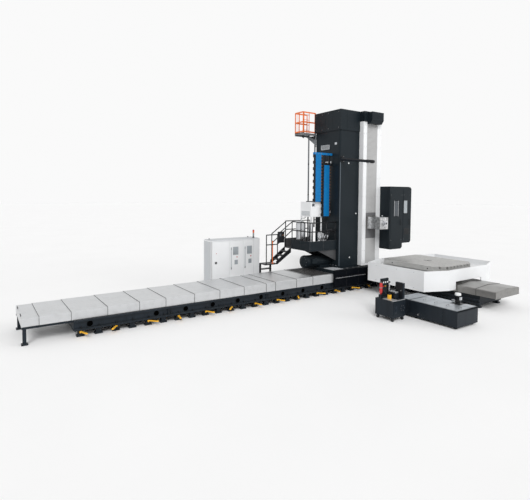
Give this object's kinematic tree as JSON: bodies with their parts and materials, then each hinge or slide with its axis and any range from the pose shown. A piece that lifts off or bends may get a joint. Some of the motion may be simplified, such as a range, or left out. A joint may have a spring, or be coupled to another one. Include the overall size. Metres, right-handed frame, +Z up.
{
  "type": "horizontal boring mill",
  "caption": "Floor type horizontal boring mill: long covered bed, travelling column with ram and spindle, turning work table on its own bed, and separate units beside it.",
  "frame": {"origin": "on the floor under the turning axis of the work table, at the foot of the levelling pad there", "axes": "+X along the long bed, away from the parked covers, +Y from the table towards the column, +Z up"},
  "size_m": [15.576, 8.244, 6.85],
  "materials": {
    "bed_blue": "semi gloss paint on casting",
    "charcoal": "satin paint",
    "black_paint": "satin paint",
    "white_paint": "semi gloss paint",
    "light_grey": "satin paint",
    "cover_steel": "brushed sheet",
    "dark_steel": "brushed sheet",
    "table_steel": "ground surface",
    "louvre": "louvred sheet",
    "ram_steel": "scraped and ground",
    "chrome": "polished",
    "orange": "gloss paint",
    "red": "gloss paint",
    "lever_yellow": "gloss paint",
    "chain_blue": "matte",
    "rubber": "matte",
    "screen_glass": "gloss"
  },
  "bodies": {
    "foundation": {"bed": "bed_blue", "levelling_wedges": "bed_blue", "cover_end_frames": "bed_blue", "bed_cover_left_01": "cover_steel", "bed_cover_right_1": "cover_steel", "table_bed": "bed_blue", "table_cover_near_1": "dark_steel", "table_cover_far_1": "dark_steel", "coolant_tank": "bed_blue", "coolant_pump": "charcoal", "hydraulic_unit": "bed_blue", "pressure_vessel": "red", "electrical_cabinet": "white_paint"},
    "column": {"saddle": "charcoal", "saddle_apron": "charcoal", "column": "charcoal", "column_hood": "charcoal", "front_frame": "white_paint", "upper_face_cover": "louvre", "lower_face_cover": "louvre", "service_platform": "charcoal", "platform_railing": "black_paint", "platform_stair": "black_paint", "column_drive": "charcoal", "platform_tanks": "chrome", "pump_group": "chrome", "cooler": "white_paint", "energy_chains": "chain_blue", "caged_ladder": "orange", "light_boom": "black_paint", "tool_magazine": "charcoal", "bed_cover_left_13": "cover_steel", "bed_cover_right_5": "cover_steel"},
    "head": {"headstock": "dark_steel"},
    "ram": {"ram": "ram_steel"},
    "spindle": {"spindle": "chrome"},
    "table_saddle": {"table_saddle": "bed_blue", "table_skirt": "white_paint", "table_cover_near_3": "dark_steel", "table_cover_far_3": "dark_steel"},
    "turning_table": {"turning_table": "table_steel"},
    "table_cover_near": {"table_cover_near_2": "dark_steel"},
    "table_cover_far": {"table_cover_far_2": "dark_steel"},
    "bed_cover_left_02": {"bed_cover_left_02": "cover_steel"},
    "bed_cover_left_03": {"bed_cover_left_03": "cover_steel"},
    "bed_cover_left_04": {"bed_cover_left_04": "cover_steel"},
    "bed_cover_left_05": {"bed_cover_left_05": "cover_steel"},
    "bed_cover_left_06": {"bed_cover_left_06": "cover_steel"},
    "bed_cover_left_07": {"bed_cover_left_07": "cover_steel"},
    "bed_cover_left_08": {"bed_cover_left_08": "cover_steel"},
    "bed_cover_left_09": {"bed_cover_left_09": "cover_steel"},
    "bed_cover_left_10": {"bed_cover_left_10": "cover_steel"},
    "bed_cover_left_11": {"bed_cover_left_11": "cover_steel"},
    "bed_cover_left_12": {"bed_cover_left_12": "cover_steel"},
    "bed_cover_right_2": {"bed_cover_right_2": "cover_steel"},
    "bed_cover_right_3": {"bed_cover_right_3": "cover_steel"},
    "bed_cover_right_4": {"bed_cover_right_4": "cover_steel"},
    "cabinet_door_1": {"cabinet_door_1": "white_paint"},
    "cabinet_door_2": {"cabinet_door_2": "white_paint"},
    "cabinet_door_3": {"cabinet_door_3": "white_paint"}
  },
  "joints": [
    {"name": "column_travel", "type": "slide", "parent": "foundation", "child": "column", "axis": [1, 0, 0], "range_m": [-8, 0.15]},
    {"name": "head_lift", "type": "slide", "parent": "column", "child": "head", "axis": [0, 0, 1], "range_m": [-0.6, 2.3], "deforming": ["upper_face_cover", "lower_face_cover"]},
    {"name": "ram_slide", "type": "slide", "parent": "head", "child": "ram", "axis": [0, -1, 0], "range_m": [-0.5, 0.3]},
    {"name": "spindle_turn", "type": "hinge", "parent": "ram", "child": "spindle", "pos_m": [-1.244, 1.038, 2.55], "axis": [0, -1, 0], "continuous": true},
    {"name": "table_travel", "type": "slide", "parent": "foundation", "child": "table_saddle", "axis": [0, 1, 0], "range_m": [-1.2, 0.05]},
    {"name": "table_turn", "type": "hinge", "parent": "table_saddle", "child": "turning_table", "pos_m": [0, 0, 0.98], "axis": [0, 0, 1], "continuous": true},
    {"name": "bed_cover_left_02_slide", "type": "slide", "parent": "foundation", "child": "bed_cover_left_02", "axis": [1, 0, 0], "range_m": [-0.3028, 0.0067]},
    {"name": "bed_cover_left_03_slide", "type": "slide", "parent": "foundation", "child": "bed_cover_left_03", "axis": [1, 0, 0], "range_m": [-0.9416, 0.0186]},
    {"name": "bed_cover_left_04_slide", "type": "slide", "parent": "foundation", "child": "bed_cover_left_04", "axis": [1, 0, 0], "range_m": [-1.7425, 0.0337]},
    {"name": "bed_cover_left_05_slide", "type": "slide", "parent": "foundation", "child": "bed_cover_left_05", "axis": [1, 0, 0], "range_m": [-2.5033, 0.0479]},
    {"name": "bed_cover_left_06_slide", "type": "slide", "parent": "foundation", "child": "bed_cover_left_06", "axis": [1, 0, 0], "range_m": [-3.1712, 0.0604]},
    {"name": "bed_cover_left_07_slide", "type": "slide", "parent": "foundation", "child": "bed_cover_left_07", "axis": [1, 0, 0], "range_m": [-3.968, 0.0754]},
    {"name": "bed_cover_left_08_slide", "type": "slide", "parent": "foundation", "child": "bed_cover_left_08", "axis": [1, 0, 0], "range_m": [-4.7218, 0.0895]},
    {"name": "bed_cover_left_09_slide", "type": "slide", "parent": "foundation", "child": "bed_cover_left_09", "axis": [1, 0, 0], "range_m": [-5.5047, 0.1042]},
    {"name": "bed_cover_left_10_slide", "type": "slide", "parent": "foundation", "child": "bed_cover_left_10", "axis": [1, 0, 0], "range_m": [-6.2655, 0.1185]},
    {"name": "bed_cover_left_11_slide", "type": "slide", "parent": "foundation", "child": "bed_cover_left_11", "axis": [1, 0, 0], "range_m": [-6.5513, 0.1238]},
    {"name": "bed_cover_left_12_slide", "type": "slide", "parent": "foundation", "child": "bed_cover_left_12", "axis": [1, 0, 0], "range_m": [-7.3592, 0.139]},
    {"name": "bed_cover_right_2_slide", "type": "slide", "parent": "foundation", "child": "bed_cover_right_2", "axis": [1, 0, 0], "range_m": [-2.001, 0.0385]},
    {"name": "bed_cover_right_3_slide", "type": "slide", "parent": "foundation", "child": "bed_cover_right_3", "axis": [1, 0, 0], "range_m": [-4.001, 0.076]},
    {"name": "bed_cover_right_4_slide", "type": "slide", "parent": "foundation", "child": "bed_cover_right_4", "axis": [1, 0, 0], "range_m": [-6.001, 0.1135]},
    {"name": "table_cover_near_slide", "type": "slide", "parent": "foundation", "child": "table_cover_near", "axis": [0, 1, 0], "range_m": [-0.601, 0.026]},
    {"name": "table_cover_far_slide", "type": "slide", "parent": "foundation", "child": "table_cover_far", "axis": [0, 1, 0], "range_m": [-0.601, 0.026]},
    {"name": "cabinet_door_1_hinge", "type": "hinge", "parent": "foundation", "child": "cabinet_door_1", "pos_m": [-6.7555, 4.3385, 0.1], "axis": [0, 0, -1], "range_deg": [0, 90]},
    {"name": "cabinet_door_2_hinge", "type": "hinge", "parent": "foundation", "child": "cabinet_door_2", "pos_m": [-6.0065, 4.3385, 0.1], "axis": [0, 0, -1], "range_deg": [0, 90]},
    {"name": "cabinet_door_3_hinge", "type": "hinge", "parent": "foundation", "child": "cabinet_door_3", "pos_m": [-5.3965, 4.3385, 0.1], "axis": [0, 0, -1], "range_deg": [0, 90]}
  ],
  "couplings": [
    {"joint": "bed_cover_left_02_slide", "follows": "column_travel", "ratio": 0.03773},
    {"joint": "bed_cover_left_03_slide", "follows": "column_travel", "ratio": 0.11758},
    {"joint": "bed_cover_left_04_slide", "follows": "column_travel", "ratio": 0.21769},
    {"joint": "bed_cover_left_05_slide", "follows": "column_travel", "ratio": 0.31279},
    {"joint": "bed_cover_left_06_slide", "follows": "column_travel", "ratio": 0.39627},
    {"joint": "bed_cover_left_07_slide", "follows": "column_travel", "ratio": 0.49588},
    {"joint": "bed_cover_left_08_slide", "follows": "column_travel", "ratio": 0.5901},
    {"joint": "bed_cover_left_09_slide", "follows": "column_travel", "ratio": 0.68796},
    {"joint": "bed_cover_left_10_slide", "follows": "column_travel", "ratio": 0.78306},
    {"joint": "bed_cover_left_11_slide", "follows": "column_travel", "ratio": 0.81879},
    {"joint": "bed_cover_left_12_slide", "follows": "column_travel", "ratio": 0.91977},
    {"joint": "bed_cover_right_2_slide", "follows": "column_travel", "ratio": 0.25},
    {"joint": "bed_cover_right_3_slide", "follows": "column_travel", "ratio": 0.5},
    {"joint": "bed_cover_right_4_slide", "follows": "column_travel", "ratio": 0.75},
    {"joint": "table_cover_near_slide", "follows": "table_travel", "ratio": 0.5},
    {"joint": "table_cover_far_slide", "follows": "table_travel", "ratio": 0.5}
  ]
}
